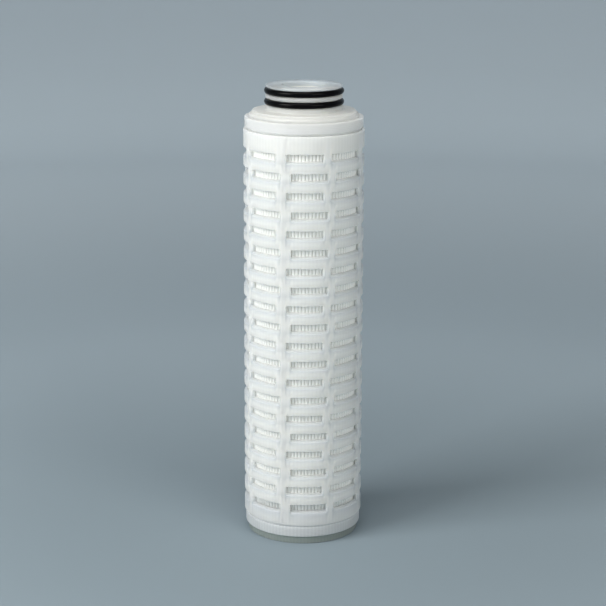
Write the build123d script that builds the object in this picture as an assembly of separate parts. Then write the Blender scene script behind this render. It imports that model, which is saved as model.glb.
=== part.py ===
# Pleated membrane filter cartridge with a double O-ring spigot and a side-cored slotted cage.
# The closed flat end stands on z = 0, the spigot points up, and the centre line is the Z axis.
# All sizes are millimetres. The front of the cartridge faces -Y.

from build123d import *
import math
import os

os.makedirs("parts", exist_ok=True)

# Overall sizes
body_length = 249.75           # flat closed end to the sealing shoulder
cage_outer_r = 34.5            # largest radius of the cartridge
front = -90                    # direction of the front, as an angle from +X

# Outer cage: a moulded tube with rows of arc-shaped windows
cage_wall = 2.25
cage_edge_round = 0.7          # rounded outer corner at each end of the tube
window_height = 5.2            # at the outer face
window_top_draft = 0.2         # the roof of a window comes down by this much through the wall
window_sill_draft = 0.85       # the sill rises by this much through the wall
row_pitch = 10.775
lower_band = 7.575             # solid tube below the lowest row
least_upper_band = 8.0         # at least this much solid tube above the top row
core_pulls = 4                 # side cores of the mould, evenly spaced
pull_turn = 25.27              # first side core is pulled out at this angle from the front
pair_web = 4.5                 # narrow web between the two windows of one side core
parting_web = 6.8              # wide web on the line where two side cores meet
row_stagger = 1.4              # every row shifts its windows sideways by this much, turn about

# End caps: both have the same rim, with a trough that holds the ends of the pack
cap_step = 0.7                 # the rim stands back from the cage by this much
rim_height = 5.65              # straight part of the rim
rim_chamfer_height = 1.85      # cone that centres the end of the cage
cage_seat_depth = 0.4          # the tip of the cone lies this far inside the cage
cone_tip_gap = 0.05            # between the tip of the cone and the bore of the cage
cone_tip_land = 0.15           # flat left at the tip of the cone, outside the trough
trough_depth = 4.0
rim_edge_round = 0.5
tier_height = 4.6              # lower, narrower step of the closed cap
tier_step = 1.6
tier_edge_round = 0.4
foot_recess_r = 26.0           # shallow hollow under the closed cap
foot_recess_depth = 1.0
boss_clearance = 0.1           # between the boss of a cap and the bore of the inner core

# Outlet
outlet_r = 12.25
outlet_edge_round = 1.2
pilot_wall = 2.6               # short ring under the shoulder that finds the hole of the cap
pilot_depth = 1.5
pilot_clearance = 0.1

# Sealing shoulder, welded on the open cap
shoulder_setback = 4.3         # from the rim of the cap to the wall of the shoulder
shoulder_height = 3.45
shoulder_edge_round = 0.6
shoulder_root_round = 0.9      # leaves the flat of the shoulder just clear of the O-rings
bead_height = 2.4              # weld bead at the foot of the shoulder
bead_width = 1.6
bead_bulge = 0.45              # how far the bead stands out from a straight slope

# Spigot and its two O-rings
spigot_r = 21.85
spigot_edge_round = 0.8
spigot_edge_share = 0.7        # the round takes no more than this share of the top land
neck_height = 2.55             # shoulder to the lower groove
groove_extra_width = 0.87      # a groove is wider than its ring by this much
groove_land = 1.8              # between the two grooves
top_land = 1.2                 # above the upper groove
groove_edge_round = 0.25
ring_section = 3.53
ring_stretched_r = 19.15       # inner radius of a ring once it is stretched into its groove
ring_clearance = 0.02          # between a ring and the floor of its groove

# Inner core: a slotted tube
core_outer_r = 17.0
core_wall = 2.0
slot_columns = 6
slot_width = 9.5
slot_height = 5.5
slot_pitch = 9.0
core_end_band = 11.0           # solid tube at each end

# Pleated pack: three sheets folded together and closed to a ring
support_thickness = 0.16
membrane_thickness = 0.10
sheet_gap = 0.02               # air between two sheets
tip_clearance = 0.15           # outer folds to the wall of the trough
root_clearance = 0.15          # inner folds to the inner core
root_pitch = 1.09              # spacing of the inner folds along their circle
tip_inner_round = 0.32         # half the hollow inside an outer fold
root_inner_round = 0.055       # half the hollow inside an inner fold

# Heights and radii that follow from the sizes above
cage_inner_r = cage_outer_r - cage_wall
cap_rim_r = cage_outer_r - cap_step
cone_tip_r = cage_inner_r - cone_tip_gap
trough_r = cone_tip_r - cone_tip_land
open_cap_top = body_length - shoulder_height
open_cap_tip = open_cap_top - rim_height - rim_chamfer_height
closed_cap_tip = tier_height + rim_height + rim_chamfer_height
cage_bottom = closed_cap_tip - cage_seat_depth
cage_top = open_cap_tip + cage_seat_depth
pack_bottom = closed_cap_tip - trough_depth
pack_top = open_cap_tip + trough_depth
core_inner_r = core_outer_r - core_wall
boss_r = core_inner_r - boss_clearance
cone_slope = (cap_rim_r - cone_tip_r) / rim_chamfer_height


def write(part, node):
    """Save one piece under its name."""
    export_step(part, f"parts/{node}.step")


def turned(points):
    """Revolve a closed outline of (radius, height) points into a solid."""
    outline = Polyline(*[(r, 0, z) for r, z in points], close=True)
    return revolve(make_face(outline), axis=Axis.Z)


def circles_at(solid, radius, height, reach=0.01):
    """Round edges of the given radius at the given height."""
    found = []
    for edge in solid.edges().filter_by(GeomType.CIRCLE):
        same_height = abs(edge.arc_center.Z - height) < reach
        if same_height and abs(edge.radius - radius) < reach:
            found.append(edge)
    return found


def end_cap_outline(outer_z, trough_z, tip_z, hole_r, seat):
    """Half section of a cap, from its outer face to the tip of its cone.

    seat lists the points between the centre and the rim on the outer face.
    """
    toward_tip = math.copysign(1, tip_z - outer_z)
    rim_end = tip_z - toward_tip * rim_chamfer_height
    return seat + [
        (cap_rim_r, rim_end),
        (cone_tip_r, tip_z),
        (trough_r, tip_z),
        (trough_r, trough_z),
        (boss_r, trough_z),
        (boss_r, tip_z),
        (hole_r, tip_z),
    ]


def bottom_end_cap():
    """Closed cap: two steps outside, a trough and a boss inside, a shallow hollow below."""
    tier_r = cap_rim_r - tier_step
    foot = [
        (0, foot_recess_depth),
        (foot_recess_r, foot_recess_depth),
        (foot_recess_r, 0),
        (tier_r, 0),
        (tier_r, tier_height),
        (cap_rim_r, tier_height),
    ]
    cap = turned(end_cap_outline(0, pack_bottom, closed_cap_tip, 0, foot))
    cap = fillet(circles_at(cap, tier_r, 0), tier_edge_round)
    return fillet(circles_at(cap, cap_rim_r, tier_height), rim_edge_round)


def top_end_cap():
    """Open cap: the same rim and trough, with the outlet hole and a seat for the pilot."""
    seat_r = outlet_r + pilot_wall + pilot_clearance
    seat = [
        (outlet_r, open_cap_top - pilot_depth - pilot_clearance),
        (seat_r, open_cap_top - pilot_depth - pilot_clearance),
        (seat_r, open_cap_top),
        (cap_rim_r, open_cap_top),
    ]
    cap = turned(end_cap_outline(open_cap_top, pack_top, open_cap_tip, outlet_r, seat))
    return fillet(circles_at(cap, cap_rim_r, open_cap_top), rim_edge_round)


def groove_heights():
    """Floor-to-floor limits of the lower and the upper groove, as (low, high) pairs."""
    width = ring_section + groove_extra_width
    lower = body_length + neck_height
    upper = lower + width + groove_land
    return [(lower, lower + width), (upper, upper + width)]


def spigot_adapter():
    """Outlet spigot and sealing shoulder in one moulding, with its weld bead."""
    (low_a, high_a), (low_b, high_b) = groove_heights()
    top = high_b + top_land
    floor_r = ring_stretched_r - ring_clearance
    pilot_r = outlet_r + pilot_wall
    shoulder_r = cap_rim_r - shoulder_setback
    bead_top = open_cap_top + bead_height
    bead_foot_r = shoulder_r + bead_width
    bead_middle = (
        (shoulder_r + bead_foot_r) / 2 + bead_bulge,
        0,
        (open_cap_top + bead_top) / 2 + bead_bulge,
    )

    inside = [
        (pilot_r, open_cap_top),
        (pilot_r, open_cap_top - pilot_depth),
        (outlet_r, open_cap_top - pilot_depth),
        (outlet_r, top),
    ]
    outside = [
        (spigot_r, top),
        (spigot_r, high_b), (floor_r, high_b), (floor_r, low_b), (spigot_r, low_b),
        (spigot_r, high_a), (floor_r, high_a), (floor_r, low_a), (spigot_r, low_a),
        (spigot_r, body_length),
        (shoulder_r, body_length),
        (shoulder_r, bead_top),
    ]
    path = [(bead_foot_r, open_cap_top)] + inside + outside
    walls = Polyline(*[(r, 0, z) for r, z in path])
    bead = ThreePointArc((shoulder_r, 0, bead_top), bead_middle, (bead_foot_r, 0, open_cap_top))
    adapter = revolve(make_face(walls + bead), axis=Axis.Z)

    groove_lips = []
    for height in (high_b, low_b, high_a, low_a):
        groove_lips += circles_at(adapter, spigot_r, height)
    adapter = fillet(groove_lips, groove_edge_round)
    adapter = fillet(circles_at(adapter, spigot_r, body_length), shoulder_root_round)
    adapter = fillet(circles_at(adapter, shoulder_r, body_length), shoulder_edge_round)
    adapter = fillet(circles_at(adapter, outlet_r, top), outlet_edge_round)
    spigot_round = min(spigot_edge_round, spigot_edge_share * top_land)
    return fillet(circles_at(adapter, spigot_r, top), spigot_round)


def o_ring(groove):
    """One ring, centred in its groove."""
    low, high = groove
    section_r = ring_section / 2
    ring = Torus(ring_stretched_r + section_r, section_r)
    return Pos(0, 0, (low + high) / 2) * ring


def window_angles(shift):
    """Start and end angle, at the outer face, of the two windows of one side core.

    Angles run from the direction in which the core is pulled. shift moves both windows
    sideways along the outer face.
    """
    turn = math.degrees(math.asin(shift / cage_outer_r))
    half_web = math.degrees(math.asin(pair_web / 2 / cage_outer_r))
    half_parting = math.degrees(math.asin(parting_web / 2 / cage_outer_r))
    reach = 180 / core_pulls - half_parting
    return [(turn - reach, turn - half_web), (turn + half_web, turn + reach)]


def window_core(start, end):
    """Part of a side core that forms one window, pulled out along +X, with its roof at z = 0.

    The roof and the sill are cones that flare outwards. The two ends are flat and parallel
    to the pull, so the window closes in behind its edges as it does on the moulding.
    """
    past = 1.0
    top_rate = window_top_draft / cage_wall
    sill_rate = window_sill_draft / cage_wall
    in_r = cage_inner_r - past
    out_r = cage_outer_r + past
    deep = cage_outer_r - in_r
    section = Polyline(
        (in_r, 0, -top_rate * deep),
        (out_r, 0, top_rate * past),
        (out_r, 0, -window_height - sill_rate * past),
        (in_r, 0, -window_height + sill_rate * deep),
        close=True,
    )
    spare = 10.0
    swept = revolve(make_face(section), axis=Axis.Z, revolution_arc=end - start + 2 * spare)
    swept = Rot(0, 0, start - spare) * swept
    side_low = cage_outer_r * math.sin(math.radians(start))
    side_high = cage_outer_r * math.sin(math.radians(end))
    slab = Box(2 * out_r, side_high - side_low, 4 * window_height)
    slab = Pos(out_r, (side_low + side_high) / 2, 0) * slab
    return swept & slab


def outer_cage():
    """Slotted tube. Four side cores form the windows, and each row is shifted turn about."""
    length = cage_top - cage_bottom
    seat_r = cone_tip_r + cone_slope * cage_seat_depth + cone_tip_gap
    seat_depth = (seat_r - cage_inner_r) / cone_slope
    wall = turned([
        (seat_r, cage_bottom),
        (cage_outer_r, cage_bottom),
        (cage_outer_r, cage_top),
        (seat_r, cage_top),
        (cage_inner_r, cage_top - seat_depth),
        (cage_inner_r, cage_bottom + seat_depth),
    ])
    rims = circles_at(wall, cage_outer_r, cage_bottom) + circles_at(wall, cage_outer_r, cage_top)
    wall = fillet(rims, cage_edge_round)

    free = length - lower_band - least_upper_band - window_height
    rows = int(free / row_pitch) + 1
    first_roof = cage_bottom + lower_band + window_height + (rows - 1) * row_pitch
    cutters = []
    for side in (-1, 1):
        for start, end in window_angles(side * row_stagger):
            core = window_core(start, end)
            for row in range(rows):
                if (row % 2 == 0) == (side < 0):
                    roof = first_roof - row * row_pitch
                    for pull in range(core_pulls):
                        turn = front + pull_turn + pull * 360 / core_pulls
                        cutters.append(Pos(0, 0, roof) * Rot(0, 0, turn) * core)
    return wall - cutters


def inner_core():
    """Slotted tube that carries the folded sheets against the pressure from outside."""
    length = pack_top - pack_bottom
    tube = Cylinder(core_outer_r, length) - Cylinder(core_inner_r, length)
    rows = int((length - 2 * core_end_band - slot_height) / slot_pitch) + 1
    across = Box(3 * core_outer_r, slot_width, slot_height)
    middle = (rows - 1) / 2
    cutters = []
    for row in range(rows):
        for column in range(slot_columns // 2):
            turn = column * 360 / slot_columns
            cutters.append(Pos(0, 0, (row - middle) * slot_pitch) * Rot(0, 0, turn) * across)
    return Pos(0, 0, (pack_top + pack_bottom) / 2) * (tube - cutters)


# The folded sheets. A sheet lies between two contours, each at its own depth in the stack.
# Depth is counted from the middle of the stack, outwards to the upstream face.
stack = 2 * support_thickness + membrane_thickness + 2 * sheet_gap
tip_arc_centre_r = trough_r - tip_clearance - tip_inner_round - stack
root_arc_centre_r = core_outer_r + root_clearance + root_inner_round + stack
pleat_count = int(2 * math.pi * root_arc_centre_r / root_pitch)


def fold_contour(depth):
    """Closed line round all pleats at one depth of the stack: round tips, round roots."""
    pleat = 2 * math.pi / pleat_count
    tip_r = tip_inner_round + stack / 2 + depth
    root_r = root_inner_round + stack / 2 - depth

    def at(centre_r, ahead, sideways, angle):
        """Point beside a fold's centre: ahead is outwards, sideways is along the circle."""
        r = centre_r + ahead
        x = r * math.cos(angle) - sideways * math.sin(angle)
        y = r * math.sin(angle) + sideways * math.cos(angle)
        return (x, y)

    edges = []
    for k in range(pleat_count):
        tip = k * pleat
        root = (k + 0.5) * pleat
        tip_start = at(tip_arc_centre_r, 0, -tip_r, tip)
        tip_middle = at(tip_arc_centre_r, tip_r, 0, tip)
        tip_end = at(tip_arc_centre_r, 0, tip_r, tip)
        root_start = at(root_arc_centre_r, 0, -root_r, root)
        root_middle = at(root_arc_centre_r, -root_r, 0, root)
        root_end = at(root_arc_centre_r, 0, root_r, root)
        next_tip = at(tip_arc_centre_r, 0, -tip_r, tip + pleat)
        edges.append(Edge.make_three_point_arc(tip_start, tip_middle, tip_end))
        edges.append(Edge.make_line(tip_end, root_start))
        edges.append(Edge.make_three_point_arc(root_start, root_middle, root_end))
        edges.append(Edge.make_line(root_end, next_tip))
    return Wire(edges)


def folded_sheet(inner_depth, outer_depth):
    """One sheet of the pack, as tall as the space between the two troughs."""
    section = Face(fold_contour(outer_depth), [fold_contour(inner_depth)])
    sheet = extrude(section, amount=pack_top - pack_bottom, dir=(0, 0, 1))
    return Pos(0, 0, pack_bottom) * Rot(0, 0, front) * sheet


half_membrane = membrane_thickness / 2
support_face = half_membrane + sheet_gap
support_back = support_face + support_thickness

write(bottom_end_cap(), "bottom_end_cap")
write(top_end_cap(), "top_end_cap")
write(spigot_adapter(), "spigot_adapter")
lower_groove, upper_groove = groove_heights()
write(o_ring(lower_groove), "lower_o_ring")
write(o_ring(upper_groove), "upper_o_ring")
write(outer_cage(), "outer_cage")
write(folded_sheet(support_face, support_back), "upstream_support")
write(folded_sheet(-half_membrane, half_membrane), "membrane")
write(folded_sheet(-support_back, -support_face), "downstream_support")
write(inner_core(), "inner_core")
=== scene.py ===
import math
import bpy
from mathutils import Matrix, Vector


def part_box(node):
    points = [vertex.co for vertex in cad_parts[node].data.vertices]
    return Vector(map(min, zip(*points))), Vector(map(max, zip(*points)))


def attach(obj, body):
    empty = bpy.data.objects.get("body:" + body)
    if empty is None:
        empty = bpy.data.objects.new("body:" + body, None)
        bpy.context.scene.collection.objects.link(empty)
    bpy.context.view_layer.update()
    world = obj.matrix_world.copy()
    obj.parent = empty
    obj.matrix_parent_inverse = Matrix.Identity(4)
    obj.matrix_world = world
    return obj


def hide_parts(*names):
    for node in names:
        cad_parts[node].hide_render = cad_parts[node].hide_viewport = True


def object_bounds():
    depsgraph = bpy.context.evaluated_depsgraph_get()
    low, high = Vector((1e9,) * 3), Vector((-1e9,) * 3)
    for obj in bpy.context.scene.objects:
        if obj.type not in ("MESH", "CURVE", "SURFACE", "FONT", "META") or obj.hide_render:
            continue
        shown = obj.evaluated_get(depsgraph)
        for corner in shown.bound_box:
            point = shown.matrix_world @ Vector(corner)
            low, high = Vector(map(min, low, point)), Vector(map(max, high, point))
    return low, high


bl_info = {
    "name": "Membrane filter cartridge",
    "version": (1, 0, 0),
    "blender": (4, 5, 0),
    "location": "3D View > Sidebar > Cartridge",
    "description": "Finishes a pleated filter cartridge: cage, folded sheets, caps, seals and stage",
    "category": "Object",
}

import bmesh
import bpy
from bpy.props import FloatProperty, FloatVectorProperty, IntProperty, PointerProperty
from mathutils import Vector

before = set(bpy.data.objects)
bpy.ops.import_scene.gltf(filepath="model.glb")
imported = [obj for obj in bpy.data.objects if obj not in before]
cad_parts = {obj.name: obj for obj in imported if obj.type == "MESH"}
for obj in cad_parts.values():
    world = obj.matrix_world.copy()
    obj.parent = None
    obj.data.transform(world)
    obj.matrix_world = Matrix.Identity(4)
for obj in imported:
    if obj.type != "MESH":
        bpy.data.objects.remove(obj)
cad_low, cad_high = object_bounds()
MM = 0.001
NEAR = 0.02 * MM                   # two points nearer than this are one
SAME_TURN = math.radians(0.05)     # two directions nearer than this are one
FRONT = -math.pi / 2               # direction of the front of the object, as an angle from +X

# The cage's round wall
LONGEST_STEP = math.radians(3.2)   # widest flat strip of the wall
PARTING_TURN = math.radians(1.9)   # turn of a wide web's inner middle, with its row's windows
# Painted light on the cage: 1 paints a glow over a window, -1 paints a shade under it.
EDGE_LIGHT_FIELD = "window_edge"         # 1 where the wall is over a window, -1 under it

# The moulded finishes
BAND_LENGTH = 0.314                # length of one band of a wave texture of scale 1
TIER_TOP = 4.6                     # height of the clear tier of the closed cap, in mm
SPIGOT_CLEAR_ABOVE = 261.5         # height above which the spigot is clearer, in mm

# The stage: a round paper floor that curves up to a wall, and square soft boxes, in metres
FLOOR_RADIUS = 1.3
BEND_RADIUS = 0.5
BEND_STEPS = 8
WALL_HEIGHT = 1.2
PAPER_END = 2.0                    # the paper's colour changes up to this distance
# The paper's colour steps paint the fall of light: painted shade near the object, painted light that
# is palest at the bend.
PAPER_STOPS = [                    # distance from the object, and the colour reached there
    (0.10, "floor"), (0.46, "floor_back"), (1.38, "bend"), (1.75, "wall"),
]
ROOM_COLOUR = "#eeeae6"
ROOM_LIGHT = 0.14
LAMP_AIM_HEIGHT = 0.13
LAMPS = [
    # name, azimuth from the front and elevation in degrees, distance, side, watts, colour
    ("key_lamp", -58, 31, 1.6, 0.8, 24.0, "#fffdf9"),
    ("right_lamp", 39, 30, 1.6, 0.8, 7.8, "#fffaf1"),
    ("high_lamp", -12, 62, 1.6, 1.1, 14.0, "#fffcf6"),
]

# The camera stands where the photograph was taken from, on the front side.
EYE_DISTANCE = 1.020
EYE_HEIGHT = 0.3943
TILT_DOWN = math.radians(14.18)
LEAN = math.radians(0.19)
PICTURE_WIDTH = 606                # pixels
FOCAL_LENGTH = 1808                # in the same pixels
AXIS_OFFSET = 0.4                  # pixels from the picture's middle right to the object's axis
SENSOR_WIDTH = 36.0                # mm


# Colours and nodes

def linear(hex_colour):
    """Linear red, green, blue and alpha of an sRGB hex colour such as "#ffffff"."""
    parts = [int(hex_colour[i:i + 2], 16) / 255 for i in (1, 3, 5)]
    return [c / 12.92 if c <= 0.04045 else ((c + 0.055) / 1.055) ** 2.4 for c in parts] + [1.0]


def add_node(tree, kind, settings=None, values=None, links=None):
    """Add a node: settings are its own properties, values go to its sockets, links come in."""
    node = tree.nodes.new(kind)
    for name, value in (settings or {}).items():
        setattr(node, name, value)
    for name, value in (values or {}).items():
        node.inputs[name].default_value = value
    for name, source in (links or {}).items():
        tree.links.new(source, node.inputs[name])
    return node


def new_material(name):
    """An empty node material, its node tree and its output node."""
    material = bpy.data.materials.new(name)
    material.use_nodes = True
    material.node_tree.nodes.clear()
    output = add_node(material.node_tree, "ShaderNodeOutputMaterial")
    return material, material.node_tree, output


def scaled(colour, share):
    """A colour made darker by a share."""
    return [c * share for c in colour[:3]] + [1.0]


def colour_field(name, description, hex_colour):
    """A colour that a user can change."""
    return FloatVectorProperty(
        name=name, description=description, subtype="COLOR", size=4, min=0.0, max=1.0,
        default=linear(hex_colour),
    )


def length_field(name, description, millimetres):
    """A length that a user can change."""
    return FloatProperty(
        name=name, description=description, unit="LENGTH", default=millimetres * MM, min=0.0,
    )


class CartridgeSizes(bpy.types.PropertyGroup):
    """Sizes of what is modelled here. The rest comes from the frame."""

    cage_wall: length_field("Cage wall", "Thickness of the cage", 2.25)
    window_height: length_field("Window height", "Height of a window at the outer face", 5.2)
    roof_draft: length_field("Roof draft", "How far a window's roof comes down inwards", 0.2)
    sill_draft: length_field("Sill draft", "How far a window's sill rises inwards", 1.25)
    row_pitch: length_field("Row pitch", "From one row of windows to the next", 10.775)
    lower_band: length_field("Lower band", "Solid cage below the lowest row", 7.575)
    pair_web: length_field("Pair web", "Narrow web between a pair of windows", 4.5)
    parting_web: length_field("Parting web", "Wide web where two side cores meet", 6.8)
    row_stagger: length_field("Row stagger", "Sideways shift of the windows, turn about", 1.4)
    rows: IntProperty(name="Rows", description="Rows of windows", default=20, min=1)
    pulls: IntProperty(name="Side cores", description="Side cores round the cage", default=4)
    pull_turn: FloatProperty(
        name="Pull turn", description="First side core's direction from the front",
        subtype="ANGLE", default=math.radians(25.27),
    )
    corner_round: length_field("Corner round", "Rounded corners of a window", 0.5)
    rim_round: length_field("Rim round", "Rounded outer edge of a window", 0.22)
    end_round: length_field("End round", "Rounded outer edge at the cage's ends", 0.4)
    seat_chamfer: length_field("Seat chamfer", "Inner edge at the cage's ends", 0.35)
    witness_width: length_field("Witness width", "Half the mould line on the wide webs", 0.16)
    witness_height: length_field("Witness height", "How far the mould line stands out", 0.02)
    folds: IntProperty(name="Folds", description="Folds of the sheets", default=100, min=3)
    fold_tip: length_field("Fold tip", "Outer radius of the folds", 31.9)
    fold_half: length_field("Fold half width", "Half a fold's width near its tip", 0.945)
    root_reach: length_field("Root reach", "Radius at which a fold's sides end", 17.6)
    root_half: length_field("Root half width", "Half a fold's width at its root", 0.50)
    sheet: length_field("Support sheet", "Thickness of the outer support sheet", 0.16)
    fold_wander: length_field("Fold wander", "How far a fold strays from its place", 0.5)
    wander_length: length_field("Wander length", "Height over which the folds stray", 26.0)


class CartridgeColours(bpy.types.PropertyGroup):
    """Base colours of the materials."""

    cage: colour_field("Cage", "Natural polypropylene, thin", "#f4f6f4")
    # The next two colours are painted light: a warm glow over each window and a darker, bluish shade
    # under it.
    cage_roof_glow: colour_field("Cage over a window", "Where light comes out, warm", "#fffdf6")
    cage_sill_shade: colour_field("Cage under a window", "Where the shade shows through", "#c3c8cf")
    cap: colour_field("Open cap", "Natural polypropylene, thick and white", "#f5f7f7")
    closed_cap: colour_field("Closed cap", "Natural polypropylene, clearer", "#e4e8ea")
    tier: colour_field("Closed cap's tier", "Where the cap is clear, a little green", "#bfccc6")
    adapter: colour_field("Adapter", "Natural polypropylene, a little warm", "#eeefeb")
    spigot: colour_field("Spigot end", "Where the spigot is clear, a little blue", "#cbd5dd")
    seal: colour_field("Seal", "Black rubber", "#050506")
    support: colour_field("Support sheet", "White nonwoven", "#fdfdfb")
    membrane: colour_field("Membrane", "White microporous film", "#fefefe")
    # The paper's colours paint light and shade over the stage: darker near the object, palest at the
    # bend.
    floor: colour_field("Floor", "Paper floor at the object", "#798790")
    floor_back: colour_field("Floor behind", "Paper floor behind the object", "#8f9da7")
    bend: colour_field("Bend", "Paper where it starts to curve up", "#c3d0d9")
    wall: colour_field("Wall", "Paper on the wall", "#acb8c1")


# Small modelling helpers

def start_piece(name):
    """Name the object that was just added, and open it for editing with nothing selected."""
    piece = bpy.context.object
    piece.name = name
    piece.data.name = name
    bpy.ops.object.transform_apply(location=True, rotation=True, scale=True)
    bpy.ops.object.mode_set(mode="EDIT")
    bpy.ops.mesh.select_all(action="DESELECT")
    return piece


def pick(piece, kind, test):
    """Select the vertices, edges or faces that pass a test. Return how many did."""
    mesh = bmesh.from_edit_mesh(piece.data)
    bpy.ops.mesh.select_all(action="DESELECT")
    mode = {"verts": "VERT", "edges": "EDGE", "faces": "FACE"}[kind]
    bpy.context.tool_settings.mesh_select_mode = [mode == m for m in ("VERT", "EDGE", "FACE")]
    found = 0
    for element in getattr(mesh, kind):
        if test(element):
            element.select_set(True)
            found += 1
    mesh.select_flush_mode()
    bmesh.update_edit_mesh(piece.data)
    return found


def close_piece(piece, smooth_angle):
    """Leave edit mode, and shade smooth every edge that turns less than an angle."""
    bpy.ops.object.mode_set(mode="OBJECT")
    bpy.ops.object.shade_smooth_by_angle(angle=math.radians(smooth_angle))


def apply_modifier(piece, name, kind, settings):
    """Add a modifier with its settings, and apply it."""
    modifier = piece.modifiers.new(name, kind)
    for key, value in settings.items():
        setattr(modifier, key, value)
    bpy.ops.object.modifier_apply(modifier=name)


def face_outwards(piece):
    """Turn every face of a closed shell round, if it is inside out."""
    bpy.ops.object.mode_set(mode="EDIT")
    if bmesh.from_edit_mesh(piece.data).calc_volume(signed=True) < 0:
        bpy.ops.mesh.select_all(action="SELECT")
        bpy.ops.mesh.flip_normals()
    bpy.ops.object.mode_set(mode="OBJECT")


def radius_of(point):
    """A point's distance from the upright axis."""
    return math.hypot(point.x, point.y)


def middle_of(element):
    """The mean place of an edge's or a face's corners."""
    total = Vector()
    for vertex in element.verts:
        total += vertex.co
    return total / len(element.verts)


def dress(piece, material):
    """Give a piece one material, in every slot that it has."""
    if not piece.data.materials:
        piece.data.materials.append(material)
    for index in range(len(piece.data.materials)):
        piece.data.materials[index] = material


# Materials

# Small marks that the object carries: their place and radius in mm, and how grey they are
SHOULDER_MARKS = [((22.9, 2.5, 249.75), 0.5, 0.15)]
RIM_MARKS = [((-14.0, -31.3, 10.9), 0.7, 0.6), ((-11.6, -32.3, 11.2), 0.6, 0.6)]


def multiply(tree, colour, value, at_nought):
    """Darken a colour towards at_nought, a grey level, where a value nears nought."""
    level = add_node(
        tree, "ShaderNodeMapRange", values={"To Min": at_nought, "To Max": 1.0},
        links={"Value": value},
    )
    mixed = add_node(
        tree, "ShaderNodeVectorMath", settings={"operation": "SCALE"},
        links={"Vector": colour, "Scale": level.outputs["Result"]},
    )
    return mixed.outputs["Vector"]


def fold_shade(tree, place, folds):
    """1 over the tip of each fold behind the wall, and 0 between two tips."""
    parts = add_node(tree, "ShaderNodeSeparateXYZ", links={"Vector": place.outputs["Object"]})
    angle = add_node(
        tree, "ShaderNodeMath", settings={"operation": "ARCTAN2"},
        links={0: parts.outputs["Y"], 1: parts.outputs["X"]},
    )
    turns = add_node(
        tree, "ShaderNodeMath", settings={"operation": "MULTIPLY"}, values={1: folds},
        links={0: angle.outputs[0]},
    )
    wave = add_node(
        tree, "ShaderNodeMath", settings={"operation": "COSINE"}, links={0: turns.outputs[0]},
    )
    share = add_node(
        tree, "ShaderNodeMapRange", values={"From Min": -1.0, "From Max": 1.0},
        links={"Value": wave.outputs[0]},
    )
    return share.outputs["Result"]


def away_from_mark(tree, place, point, radius):
    """0 inside a small round mark, whose point and radius are in mm, and 1 outside it."""
    offset = add_node(
        tree, "ShaderNodeVectorMath", settings={"operation": "SUBTRACT"},
        values={1: [c * MM for c in point]}, links={0: place.outputs["Object"]},
    )
    distance = add_node(
        tree, "ShaderNodeVectorMath", settings={"operation": "LENGTH"},
        links={0: offset.outputs["Vector"]},
    )
    share = add_node(
        tree, "ShaderNodeMapRange",
        values={"From Min": radius * 0.5 * MM, "From Max": radius * MM},
        links={"Value": distance.outputs["Value"]},
    )
    return share.outputs["Result"]


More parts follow.
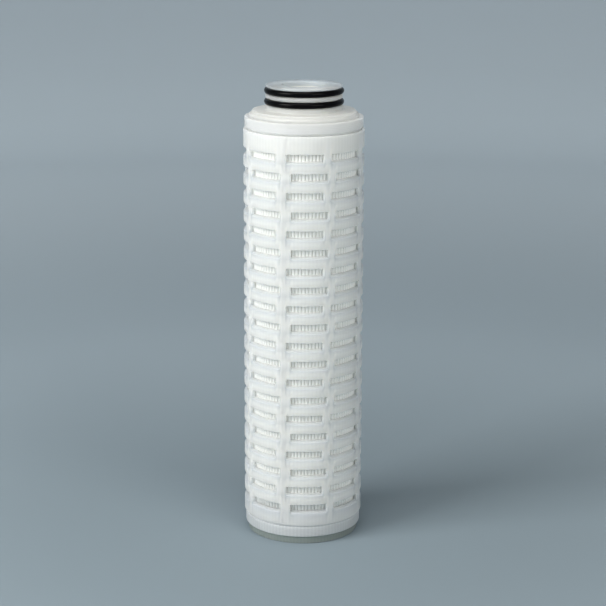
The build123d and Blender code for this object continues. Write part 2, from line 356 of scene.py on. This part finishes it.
def polypropylene(
    name, colour, see_through, roughness, glow_mm, ripple_mm,
    edge_shade_and_glow=None, folds=0, fold_grey=0.965, marks=(), turned_mm=0.0, foot=None,
):
    """Natural polypropylene as it leaves the mould: a waxy white that light soaks into.

    see_through is the share of light that goes straight on, so that what lies close behind
    shows as a pale shadow. Light that soaks in comes out again up to glow_mm away, which
    makes thin edges bright. A faint ripple of ripple_mm breaks up the reflections.
    The edge colours are painted light: a bluish painted shade under a window and a warm
    painted glow over it. folds paints the shadows of that many folds behind the wall, as
    dark as fold_grey. marks are small dirty spots. turned_mm is the spacing of the fine
    rings that a turned mould leaves. foot is the colour, the top in mm and the see-through
    share of a piece's differing lower part.
    """
    material, tree, output = new_material(name)
    place = add_node(tree, "ShaderNodeTexCoord")
    ripple = add_node(
        tree, "ShaderNodeTexNoise", values={"Scale": 1 / (ripple_mm * MM), "Detail": 3.0},
        links={"Vector": place.outputs["Object"]},
    )
    bump = add_node(
        tree, "ShaderNodeBump", values={"Strength": 0.12, "Distance": 0.05 * MM},
        links={"Height": ripple.outputs["Fac"]},
    )
    if turned_mm:
        rings = add_node(
            tree, "ShaderNodeTexWave",
            settings={"wave_type": "BANDS", "bands_direction": "Z"},
            values={
                "Scale": BAND_LENGTH / (turned_mm * MM), "Distortion": 0.6, "Detail": 2.0,
            },
            links={"Vector": place.outputs["Object"]},
        )
        bump = add_node(
            tree, "ShaderNodeBump", values={"Strength": 0.9, "Distance": 0.08 * MM},
            links={"Height": rings.outputs["Fac"], "Normal": bump.outputs["Normal"]},
        )
    cloud_mm = 9
    cloud = add_node(
        tree, "ShaderNodeTexNoise", values={"Scale": 1 / (cloud_mm * MM), "Detail": 2.0},
        links={"Vector": place.outputs["Object"]},
    )
    # Painted light: the cage is painted darker and bluish under each window, and warm and bright
    # over it.
    if edge_shade_and_glow:
        edge = add_node(tree, "ShaderNodeAttribute", settings={"attribute_name": EDGE_LIGHT_FIELD})
        share = add_node(
            tree, "ShaderNodeMapRange", values={"From Min": -1.0, "From Max": 1.0},
            links={"Value": edge.outputs["Fac"]},
        )
        ramp = add_node(tree, "ShaderNodeValToRGB", links={"Fac": share.outputs["Result"]})
        stops = ramp.color_ramp.elements
        stops.new(0.5)
        for stop, stop_colour in zip(stops, (edge_shade_and_glow[0], colour, edge_shade_and_glow[1])):
            stop.color = list(stop_colour)
        tint = ramp.outputs["Color"]
    else:
        plain = add_node(
            tree, "ShaderNodeMix", settings={"data_type": "RGBA"},
            values={6: scaled(colour, 0.985), 7: list(colour)},
            links={"Factor": cloud.outputs["Fac"]},
        )
        tint = plain.outputs[2]
    tint = multiply(tree, tint, cloud.outputs["Fac"], 0.985)
    if foot:
        foot_colour, foot_top, foot_see_through = foot
        blend = 0.3                # half the height over which the two parts blend, in mm
        height = add_node(
            tree, "ShaderNodeSeparateXYZ", links={"Vector": place.outputs["Object"]},
        )
        above = add_node(
            tree, "ShaderNodeMapRange",
            values={"From Min": (foot_top - blend) * MM, "From Max": (foot_top + blend) * MM},
            links={"Value": height.outputs["Z"]},
        )
        layered = add_node(
            tree, "ShaderNodeMix", settings={"data_type": "RGBA"},
            values={6: list(foot_colour)}, links={"Factor": above.outputs["Result"], 7: tint},
        )
        tint = layered.outputs[2]
    if folds:
        tint = multiply(tree, tint, fold_shade(tree, place, folds), fold_grey)
    for point, radius, grey in marks:
        tint = multiply(tree, tint, away_from_mark(tree, place, point, radius), grey)
    plastic = add_node(
        tree, "ShaderNodeBsdfPrincipled",
        values={
            "Roughness": roughness,
            "IOR": 1.49,
            "Subsurface Weight": 1.0,
            "Subsurface Radius": (1.0, 1.0, 0.95),
            "Subsurface Scale": glow_mm * MM,
        },
        links={"Base Color": tint, "Normal": bump.outputs["Normal"]},
    )
    clear = add_node(tree, "ShaderNodeBsdfTransparent")
    mixed = add_node(
        tree, "ShaderNodeMixShader", values={"Fac": see_through},
        links={1: plastic.outputs[0], 2: clear.outputs[0]},
    )
    if foot:
        clearness = add_node(
            tree, "ShaderNodeMapRange",
            values={"To Min": foot_see_through, "To Max": see_through},
            links={"Value": above.outputs["Result"]},
        )
        tree.links.new(clearness.outputs["Result"], mixed.inputs["Fac"])
    tree.links.new(mixed.outputs[0], output.inputs["Surface"])
    return material


def nonwoven(name, colour, fibre_mm):
    """Spun-bonded support sheet: a soft white felt of fine fibres, dull and slightly uneven.

    Light comes through the thin sheet, so a fold glows on the side that is turned from the
    lamp. Real fibres are about 0.02 mm thick. They are drawn fibre_mm wide, so that they
    show.
    """
    material, tree, output = new_material(name)
    place = add_node(tree, "ShaderNodeTexCoord")
    fibres = add_node(
        tree, "ShaderNodeTexNoise",
        values={"Scale": 1 / (fibre_mm * MM), "Detail": 4.0, "Roughness": 0.7},
        links={"Vector": place.outputs["Object"]},
    )
    bump = add_node(
        tree, "ShaderNodeBump", values={"Strength": 0.35, "Distance": 0.08 * MM},
        links={"Height": fibres.outputs["Fac"]},
    )
    tint = add_node(
        tree, "ShaderNodeMix", settings={"data_type": "RGBA"},
        values={6: scaled(colour, 0.99), 7: list(colour)},
        links={"Factor": fibres.outputs["Fac"]},
    )
    felt = add_node(
        tree, "ShaderNodeBsdfPrincipled", values={"Roughness": 0.85, "IOR": 1.49},
        links={"Base Color": tint.outputs[2], "Normal": bump.outputs["Normal"]},
    )
    through = add_node(tree, "ShaderNodeBsdfTranslucent", links={"Color": tint.outputs[2]})
    mixed = add_node(
        tree, "ShaderNodeMixShader", values={"Fac": 0.3},
        links={1: felt.outputs[0], 2: through.outputs[0]},
    )
    tree.links.new(mixed.outputs[0], output.inputs["Surface"])
    return material


def moulded_rubber(name, colour):
    """Black moulded rubber: nearly black, with a small soft highlight."""
    material, tree, output = new_material(name)
    place = add_node(tree, "ShaderNodeTexCoord")
    skin_mm = 0.4
    skin = add_node(
        tree, "ShaderNodeTexNoise", values={"Scale": 1 / (skin_mm * MM), "Detail": 3.0},
        links={"Vector": place.outputs["Object"]},
    )
    rough = add_node(
        tree, "ShaderNodeMapRange", values={"To Min": 0.18, "To Max": 0.27},
        links={"Value": skin.outputs["Fac"]},
    )
    rubber = add_node(
        tree, "ShaderNodeBsdfPrincipled",
        values={"Base Color": list(colour), "IOR": 1.5, "Specular IOR Level": 0.06},
        links={"Roughness": rough.outputs["Result"]},
    )
    tree.links.new(rubber.outputs[0], output.inputs["Surface"])
    return material


def background_paper(name, colours):
    # The paper's colour is painted light: painted shade near the object, painted light that is
    # palest at the bend.
    """Matt background paper: a dull grey blue, darker near the object, palest at the bend."""
    material, tree, output = new_material(name)
    place = add_node(tree, "ShaderNodeTexCoord")
    away = add_node(
        tree, "ShaderNodeVectorMath", settings={"operation": "LENGTH"},
        links={"Vector": place.outputs["Object"]},
    )
    share = add_node(
        tree, "ShaderNodeMapRange", values={"From Max": PAPER_END},
        links={"Value": away.outputs["Value"]},
    )
    ramp = add_node(tree, "ShaderNodeValToRGB", links={"Fac": share.outputs["Result"]})
    ramp.color_ramp.interpolation = "EASE"
    while len(ramp.color_ramp.elements) < len(PAPER_STOPS):
        ramp.color_ramp.elements.new(0.5)
    for stop, (distance, field) in zip(ramp.color_ramp.elements, PAPER_STOPS):
        stop.position = distance / PAPER_END
        stop.color = list(getattr(colours, field))
    paper = add_node(
        tree, "ShaderNodeBsdfPrincipled", values={"Roughness": 0.8},
        links={"Base Color": ramp.outputs["Color"]},
    )
    tree.links.new(paper.outputs[0], output.inputs["Surface"])
    return material


# The cage

def window_spans(sizes, outer_r, shift):
    """Angles of a side core's two windows, from its pull, when its row is shifted."""
    turn = math.asin(shift / outer_r)
    half_web = math.asin(sizes.pair_web / 2 / outer_r)
    reach = math.pi / sizes.pulls - math.asin(sizes.parting_web / 2 / outer_r)
    return [(turn - reach, turn - half_web), (turn + half_web, turn + reach)]


class CARTRIDGE_OT_cage(bpy.types.Operator):
    """Model the slotted cage, with rounded window edges and the mould's parting lines"""

    bl_idname = "cartridge.cage"
    bl_label = "Slotted cage"

    def execute(self, context):
        sizes = context.scene.cartridge_sizes
        low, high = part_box("outer_cage")
        outer_r = high.x
        inner_r = outer_r - sizes.cage_wall
        first_pull = FRONT + sizes.pull_turn
        quarter = 2 * math.pi / sizes.pulls
        spans = {side: window_spans(sizes, outer_r, side * sizes.row_stagger) for side in (-1, 1)}
        columns = sorted({angle for side in spans for span in spans[side] for angle in span})
        columns.append(quarter / 2)

        # One upright edge on the line between two side cores is spun round in stretches.
        bpy.ops.object.select_all(action="DESELECT")
        start = first_pull - quarter / 2
        bpy.ops.mesh.primitive_plane_add(
            size=1, location=(0, 0, 0), rotation=(math.pi / 2, 0, 0),
        )
        piece = start_piece("cage_shell")
        pick(piece, "verts", lambda v: v.co.x < 0)
        bpy.ops.mesh.delete(type="VERT")
        bpy.ops.mesh.select_all(action="SELECT")
        height = high.z - low.z
        bpy.ops.transform.translate(value=(-0.5, 0, 0))
        bpy.ops.transform.resize(value=(1, 1, height), center_override=(0, 0, 0))
        bpy.ops.transform.translate(
            value=(outer_r * math.cos(start), outer_r * math.sin(start), (low.z + high.z) / 2),
        )
        for _ in range(sizes.pulls):
            at = -quarter / 2
            for column in columns:
                turn = column - at
                steps = math.ceil(turn / LONGEST_STEP)
                bpy.ops.mesh.spin(steps=steps, angle=turn, center=(0, 0, 0), axis=(0, 0, 1))
                at = column
        bpy.ops.mesh.select_all(action="SELECT")
        bpy.ops.mesh.remove_doubles(threshold=NEAR)

        # Level cuts at the roof and the sill of each row.
        roofs = [
            low.z + sizes.lower_band + sizes.window_height + row * sizes.row_pitch
            for row in reversed(range(sizes.rows))
        ]
        for roof in roofs:
            for level in (roof, roof - sizes.window_height):
                bpy.ops.mesh.select_all(action="SELECT")
                bpy.ops.mesh.bisect(plane_co=(0, 0, level), plane_no=(0, 0, 1))

        def from_pull(point):
            """Angle of a point from the middle of its side core's quarter."""
            angle = math.atan2(point.y, point.x) - first_pull + quarter / 2
            return angle % quarter - quarter / 2

        def row_of(z, slack=0.0):
            """Index of the row of windows at a height, or None in the solid between rows."""
            for index, roof in enumerate(roofs):
                if roof - sizes.window_height - slack < z < roof + slack:
                    return index
            return None

        def side_of(row):
            """Which way a row's windows are shifted: -1 and 1, turn about."""
            return -1 if row % 2 == 0 else 1

        def in_window(face):
            centre = middle_of(face)
            row = row_of(centre.z)
            if row is None:
                return False
            angle = from_pull(centre)
            return any(a < angle < b for a, b in spans[side_of(row)])

        if not pick(piece, "faces", in_window):
            raise RuntimeError("no window faces were found on the cage")
        bpy.ops.mesh.delete(type="FACE")

        # The wall gets its thickness. The inner edges of its windows are then moved, so that
        # their sides lie along their side core's pull and their roofs and sills have draft.
        bpy.ops.mesh.select_all(action="SELECT")
        bpy.ops.mesh.normals_make_consistent(inside=False)
        bpy.ops.mesh.extrude_region_move()
        shrink = inner_r / outer_r
        bpy.ops.transform.resize(value=(shrink, shrink, 1), center_override=(0, 0, 0))
        inside = inner_r + NEAR

        def slide(column, side, turn):
            """Turn the inner points of one column, in the rows of one side, about the axis."""
            def test(vertex):
                if radius_of(vertex.co) > inside:
                    return False
                row = row_of(vertex.co.z, NEAR)
                if row is None or side_of(row) != side:
                    return False
                away = abs(from_pull(vertex.co) - column)
                return min(away, quarter - away) < SAME_TURN
            if pick(piece, "verts", test):
                # With no window open, this turns the other way round.
                bpy.ops.transform.rotate(
                    value=-turn, orient_axis="Z", center_override=(0, 0, 0),
                )

        for side in (-1, 1):
            slide(quarter / 2, side, side * PARTING_TURN)
            for span in spans[side]:
                for angle in span:
                    inner_angle = math.asin(outer_r * math.sin(angle) / inner_r)
                    slide(angle, side, inner_angle - angle)

        def level_test(level):
            """A test for the inner points at a height."""
            return lambda v: radius_of(v.co) < inside and abs(v.co.z - level) < NEAR

        for roof in roofs:
            pick(piece, "verts", level_test(roof))
            bpy.ops.transform.translate(value=(0, 0, -sizes.roof_draft))
            pick(piece, "verts", level_test(roof - sizes.window_height))
            bpy.ops.transform.translate(value=(0, 0, sizes.sill_draft))

        # Rounded corners of the windows, then their outer rims and the ends of the tube.
        def is_corner(edge):
            a, b = edge.verts
            if abs(radius_of(a.co) - radius_of(b.co)) < sizes.cage_wall / 2:
                return False
            outer = a if radius_of(a.co) > radius_of(b.co) else b
            row = row_of(outer.co.z, NEAR)
            if row is None:
                return False
            angle = from_pull(outer.co)
            ends = [end for span in spans[side_of(row)] for end in span]
            return any(abs(angle - end) < SAME_TURN for end in ends)

        corners = pick(piece, "edges", is_corner)
        bpy.ops.mesh.bevel(offset=sizes.corner_round, segments=3, affect="EDGES")
        windows = sizes.rows * sizes.pulls * 2
        if corners != 4 * windows:
            raise RuntimeError(f"{corners} window corners, where {4 * windows} were expected")

        # The outer face is a ring of flat strips, so a point in the middle of one lies a
        # little further in than the strips' own edges.
        face_r = outer_r * math.cos(LONGEST_STEP) - NEAR

        def is_rim(edge):
            if min(radius_of(v.co) for v in edge.verts) < face_r or len(edge.link_faces) != 2:
                return False
            if min(abs(v.co.z - end) for v in edge.verts for end in (low.z, high.z)) < NEAR:
                return False
            deep = [min(radius_of(v.co) for v in f.verts) < face_r for f in edge.link_faces]
            return deep[0] != deep[1]

        pick(piece, "edges", is_rim)
        bpy.ops.mesh.bevel(offset=sizes.rim_round, segments=2, affect="EDGES")

        def is_end(edge, radius):
            for end in (low.z, high.z):
                if all(abs(v.co.z - end) < NEAR for v in edge.verts):
                    return all(abs(radius_of(v.co) - radius) < NEAR for v in edge.verts)
            return False

        pick(piece, "edges", lambda e: is_end(e, outer_r))
        bpy.ops.mesh.bevel(offset=sizes.end_round, segments=4, affect="EDGES")
        pick(piece, "edges", lambda e: is_end(e, inner_r))
        bpy.ops.mesh.bevel(offset=sizes.seat_chamfer, segments=1, affect="EDGES")

        # Where two side cores meet, the mould leaves a fine upright ridge on the outside.
        def on_parting(point):
            away = quarter / 2 - abs(from_pull(point))
            return away < SAME_TURN and radius_of(point) > outer_r - NEAR

        pick(piece, "edges", lambda e: all(on_parting(v.co) for v in e.verts))
        bpy.ops.mesh.bevel(offset=sizes.witness_width, segments=2, affect="EDGES")
        pick(piece, "verts", lambda v: on_parting(v.co))
        stand = 1 + sizes.witness_height / outer_r
        bpy.ops.transform.resize(value=(stand, stand, 1), center_override=(0, 0, 0))
        close_piece(piece, smooth_angle=32)
        face_outwards(piece)

        # Each point of the wall is marked by the window edge that it lies on: the mark paints a glow
        # over each window and a shade under it.
        field = piece.data.attributes.new(EDGE_LIGHT_FIELD, "FLOAT", "POINT")
        web_share = 0.3            # the webs between the windows change much less
        inner_share = 0.4          # and so does the inside of the wall
        corner_slack = 0.6 * MM    # how far a window's round corners reach from its edges
        corner_turn = 0.02         # and the same as an angle
        for vertex in piece.data.vertices:
            for row, roof in enumerate(roofs):
                sill = roof - sizes.window_height
                on_roof = abs(vertex.co.z - roof) < corner_slack
                on_sill = -corner_slack < vertex.co.z - sill < sizes.sill_draft + corner_slack
                if not on_roof and not on_sill:
                    continue
                angle = from_pull(vertex.co)
                share = web_share
                if any(a - corner_turn < angle < b + corner_turn for a, b in spans[side_of(row)]):
                    outside = radius_of(vertex.co) > outer_r - sizes.cage_wall / 2
                    share = 1.0 if outside else inner_share
                field.data[vertex.index].value = share if on_roof else -share
        colours = context.scene.cartridge_colours
        # The cage's colour carries painted light: a glow over each window, a shade under it, and the
        # shadows of the folds behind.
        finish = polypropylene(
            "cage_polypropylene_moulded", colours.cage, see_through=0.38, roughness=0.46,
            glow_mm=8.0, ripple_mm=2.5, edge_shade_and_glow=(colours.cage_sill_shade, colours.cage_roof_glow),
            folds=sizes.folds,
        )
        dress(piece, finish)
        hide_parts("outer_cage")
        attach(piece, "root")
        return {"FINISHED"}


class CARTRIDGE_OT_pleats(bpy.types.Operator):
    """Model the outer support sheet, folded so that its pleats press on each other"""

    bl_idname = "cartridge.pleats"
    bl_label = "Outer support sheet"

    def execute(self, context):
        sizes = context.scene.cartridge_sizes
        low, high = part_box("upstream_support")
        step = 2 * math.pi / sizes.folds
        centre_r = sizes.fold_tip - sizes.fold_half
        root_round = sizes.root_reach * math.tan(step / 2) - sizes.root_half
        root_r = sizes.root_reach - root_round

        # The rounded tip of one fold is half a circle, and its two sides run in from it.
        bpy.ops.object.select_all(action="DESELECT")
        circle_points = 16
        bpy.ops.mesh.primitive_circle_add(
            vertices=circle_points, radius=sizes.fold_half, location=(centre_r, 0, low.z),
        )
        piece = start_piece("support_pleats")
        pick(piece, "verts", lambda v: v.co.x < centre_r - NEAR)
        bpy.ops.mesh.delete(type="VERT")
        for side in (-1, 1):
            end = Vector((centre_r, side * sizes.fold_half, low.z))
            foot = Vector((sizes.root_reach, side * sizes.root_half, low.z))
            root = Vector((root_r * math.cos(step / 2), side * root_r * math.sin(step / 2), low.z))
            pick(piece, "verts", lambda v: (v.co - end).length < NEAR)
            bpy.ops.mesh.extrude_vertices_move(TRANSFORM_OT_translate={"value": foot - end})
            bpy.ops.mesh.extrude_vertices_move(TRANSFORM_OT_translate={"value": root - foot})
        bpy.ops.mesh.select_all(action="SELECT")
        bpy.ops.mesh.spin(
            steps=sizes.folds, angle=2 * math.pi, dupli=True, center=(0, 0, 0), axis=(0, 0, 1),
        )
        bpy.ops.mesh.select_all(action="SELECT")
        bpy.ops.mesh.remove_doubles(threshold=NEAR)
        bpy.ops.mesh.select_all(action="SELECT")
        levels = 9
        rise = (high.z - low.z) / levels
        for _ in range(levels):
            bpy.ops.mesh.extrude_region_move(TRANSFORM_OT_translate={"value": (0, 0, rise)})
        bpy.ops.mesh.select_all(action="SELECT")
        bpy.ops.mesh.normals_make_consistent(inside=False)
        close_piece(piece, smooth_angle=60)

        # Neighbouring folds stray the same way, so that they stay side by side.
        wander = bpy.data.textures.new("fold_wander", "CLOUDS")
        wander.cloud_type = "COLOR"
        wander.noise_scale = sizes.wander_length
        apply_modifier(piece, "wander", "DISPLACE", {
            "texture": wander, "texture_coords": "LOCAL", "direction": "RGB_TO_XYZ",
            "strength": sizes.fold_wander, "mid_level": 0.5,
        })
        apply_modifier(piece, "sheet", "SOLIDIFY", {
            "thickness": sizes.sheet, "offset": -1.0, "use_rim": True,
        })
        face_outwards(piece)
        colours = context.scene.cartridge_colours
        dress(piece, nonwoven("support_nonwoven_pleated", colours.support, fibre_mm=0.5))
        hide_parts("upstream_support")
        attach(piece, "root")
        return {"FINISHED"}


class CARTRIDGE_OT_caps(bpy.types.Operator):
    """Give the two end caps and the inner core their moulded finish"""

    bl_idname = "cartridge.caps"
    bl_label = "End caps and core"

    def execute(self, context):
        colours = context.scene.cartridge_colours
        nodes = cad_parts
        # A thick ring: whiter than the cage, with a soft sheen and fine turned lines
        open_cap = polypropylene(
            "open_cap_polypropylene_moulded", colours.cap, see_through=0.35, roughness=0.36,
            glow_mm=8.0, ripple_mm=3.0, turned_mm=0.9,
        )
        # A disc whose rim shows the ends of the folds as painted shade, over a clear, greenish grey
        # tier
        closed_cap = polypropylene(
            "closed_cap_polypropylene_moulded", colours.closed_cap, see_through=0.36,
            roughness=0.32, glow_mm=4.0, ripple_mm=3.0,
            folds=context.scene.cartridge_sizes.folds, fold_grey=0.93, marks=RIM_MARKS,
            turned_mm=0.9, foot=(colours.tier, TIER_TOP, 0.6),
        )
        # A dim tube, seen only through the outlet
        core = polypropylene(
            "core_polypropylene_moulded", colours.cap, see_through=0.1, roughness=0.4,
            glow_mm=2.0, ripple_mm=3.0,
        )
        dress(nodes["top_end_cap"], open_cap)
        dress(nodes["bottom_end_cap"], closed_cap)
        dress(nodes["inner_core"], core)
        return {"FINISHED"}


class CARTRIDGE_OT_adapter(bpy.types.Operator):
    """Give the outlet spigot and its shoulder their moulded finish"""

    bl_idname = "cartridge.adapter"
    bl_label = "Spigot adapter"

    def execute(self, context):
        colours = context.scene.cartridge_colours
        # A thick, slightly warm shoulder, and an end that is clearer and a little blue
        finish = polypropylene(
            "adapter_polypropylene_moulded", colours.spigot, see_through=0.55, roughness=0.34,
            glow_mm=10.0, ripple_mm=3.0, marks=SHOULDER_MARKS,
            foot=(colours.adapter, SPIGOT_CLEAR_ABOVE, 0.4),
        )
        dress(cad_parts["spigot_adapter"], finish)
        return {"FINISHED"}


class CARTRIDGE_OT_seals(bpy.types.Operator):
    """Give the O-rings their moulded rubber"""

    bl_idname = "cartridge.seals"
    bl_label = "O-rings"

    def execute(self, context):
        rubber = moulded_rubber("seal_rubber_moulded", context.scene.cartridge_colours.seal)
        dress(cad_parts["lower_o_ring"], rubber)
        dress(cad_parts["upper_o_ring"], rubber)
        return {"FINISHED"}


class CARTRIDGE_OT_inner_sheets(bpy.types.Operator):
    """Give the membrane and the inner support sheet their film and nonwoven"""

    bl_idname = "cartridge.inner_sheets"
    bl_label = "Membrane and inner support"

    def execute(self, context):
        colours = context.scene.cartridge_colours
        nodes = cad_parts
        inner = nonwoven("inner_nonwoven_pleated", colours.support, fibre_mm=0.5)
        film = nonwoven("membrane_film_cast", colours.membrane, fibre_mm=0.2)
        dress(nodes["downstream_support"], inner)
        dress(nodes["membrane"], film)
        return {"FINISHED"}


# The stage

def soft_lamp(name, azimuth, elevation, distance, side, watts, colour):
    """A square soft box that faces the object. Azimuth is from the front, to the right."""
    across, up = math.radians(azimuth), math.radians(elevation)
    lamp = bpy.data.lights.new(name, "AREA")
    lamp.shape = "SQUARE"
    lamp.size = side
    lamp.energy = watts
    lamp.color = linear(colour)[:3]
    away = Vector((
        math.sin(across) * math.cos(up), -math.cos(across) * math.cos(up), math.sin(up),
    ))
    holder = bpy.data.objects.new(name, lamp)
    holder.location = away * distance + Vector((0, 0, LAMP_AIM_HEIGHT))
    holder.rotation_euler = (-away).to_track_quat("-Z", "Y").to_euler()
    bpy.context.scene.collection.objects.link(holder)


def place_camera():
    """A camera on the front side, tilted down a little and leaning by a trace."""
    camera = bpy.data.cameras.new("camera")
    camera.sensor_width = SENSOR_WIDTH
    camera.lens = SENSOR_WIDTH * FOCAL_LENGTH / PICTURE_WIDTH
    camera.clip_end = 60
    holder = bpy.data.objects.new("camera", camera)
    side_step = AXIS_OFFSET / FOCAL_LENGTH * EYE_DISTANCE
    holder.location = (-side_step, -EYE_DISTANCE, EYE_HEIGHT)
    holder.rotation_mode = "XYZ"
    look = Vector((0, math.cos(TILT_DOWN), -math.sin(TILT_DOWN)))
    holder.rotation_euler = look.to_track_quat("-Z", "Y").to_euler()
    holder.rotation_euler.rotate_axis("Z", LEAN)
    bpy.context.scene.collection.objects.link(holder)
    bpy.context.scene.camera = holder


class CARTRIDGE_OT_stage(bpy.types.Operator):
    """Set the plain floor, the soft lights and the camera"""

    bl_idname = "cartridge.stage"
    bl_label = "Floor, lights and camera"

    def execute(self, context):
        bpy.ops.object.select_all(action="DESELECT")
        bpy.ops.mesh.primitive_circle_add(
            vertices=96, radius=FLOOR_RADIUS, fill_type="NGON", location=(0, 0, cad_low.z),
        )
        floor = start_piece("floor")
        radius = FLOOR_RADIUS
        reach = BEND_RADIUS * math.pi / 2 / BEND_STEPS
        turns = [math.pi / 2 * (step + 0.5) / BEND_STEPS for step in range(BEND_STEPS)]
        rises = [(reach * math.cos(turn), reach * math.sin(turn)) for turn in turns]
        for out, up in [*rises, (0.0, WALL_HEIGHT)]:
            grown = (radius + out) / radius
            radius += out
            pick(floor, "edges", lambda e: len(e.link_faces) == 1)
            bpy.ops.mesh.extrude_edges_move(TRANSFORM_OT_translate={"value": (0, 0, up)})
            bpy.ops.transform.resize(value=(grown, grown, 1), center_override=(0, 0, 0))
        close_piece(floor, smooth_angle=40)

        dress(floor, background_paper("floor_paper_matt", context.scene.cartridge_colours))
        for lamp in LAMPS:
            soft_lamp(*lamp)
        world = bpy.data.worlds.new("soft_room")
        world.use_nodes = True
        background = world.node_tree.nodes["Background"]
        background.inputs["Color"].default_value = linear(ROOM_COLOUR)
        background.inputs["Strength"].default_value = ROOM_LIGHT
        context.scene.world = world
        place_camera()
        context.scene.view_settings.view_transform = "Standard"

        # Light crosses many white sheets before it comes out again.
        context.scene.cycles.diffuse_bounces = 24
        context.scene.cycles.transmission_bounces = 32
        context.scene.cycles.max_bounces = 40
        return {"FINISHED"}


OPERATORS = [
    CARTRIDGE_OT_cage,
    CARTRIDGE_OT_pleats,
    CARTRIDGE_OT_caps,
    CARTRIDGE_OT_adapter,
    CARTRIDGE_OT_seals,
    CARTRIDGE_OT_inner_sheets,
    CARTRIDGE_OT_stage,
]


class CARTRIDGE_PT_panel(bpy.types.Panel):
    """Buttons for each piece, and the sizes and colours that they use"""

    bl_idname = "CARTRIDGE_PT_panel"
    bl_label = "Filter cartridge"
    bl_space_type = "VIEW_3D"
    bl_region_type = "UI"
    bl_category = "Cartridge"

    def draw(self, context):
        for operator in OPERATORS:
            self.layout.operator(operator.bl_idname)
        for group in (context.scene.cartridge_sizes, context.scene.cartridge_colours):
            for name in group.__annotations__:
                self.layout.prop(group, name)


CLASSES = [CartridgeSizes, CartridgeColours, *OPERATORS, CARTRIDGE_PT_panel]


def register():
    for cls in CLASSES:
        bpy.utils.register_class(cls)
    bpy.types.Scene.cartridge_sizes = PointerProperty(type=CartridgeSizes)
    bpy.types.Scene.cartridge_colours = PointerProperty(type=CartridgeColours)


def unregister():
    del bpy.types.Scene.cartridge_colours
    del bpy.types.Scene.cartridge_sizes
    for cls in reversed(CLASSES):
        bpy.utils.unregister_class(cls)


def main():
    """Make every piece in order."""
    register()
    bpy.ops.cartridge.cage()
    bpy.ops.cartridge.pleats()
    bpy.ops.cartridge.caps()
    bpy.ops.cartridge.adapter()
    bpy.ops.cartridge.seals()
    bpy.ops.cartridge.inner_sheets()
    bpy.ops.cartridge.stage()


if __name__ == "__main__":
    main()
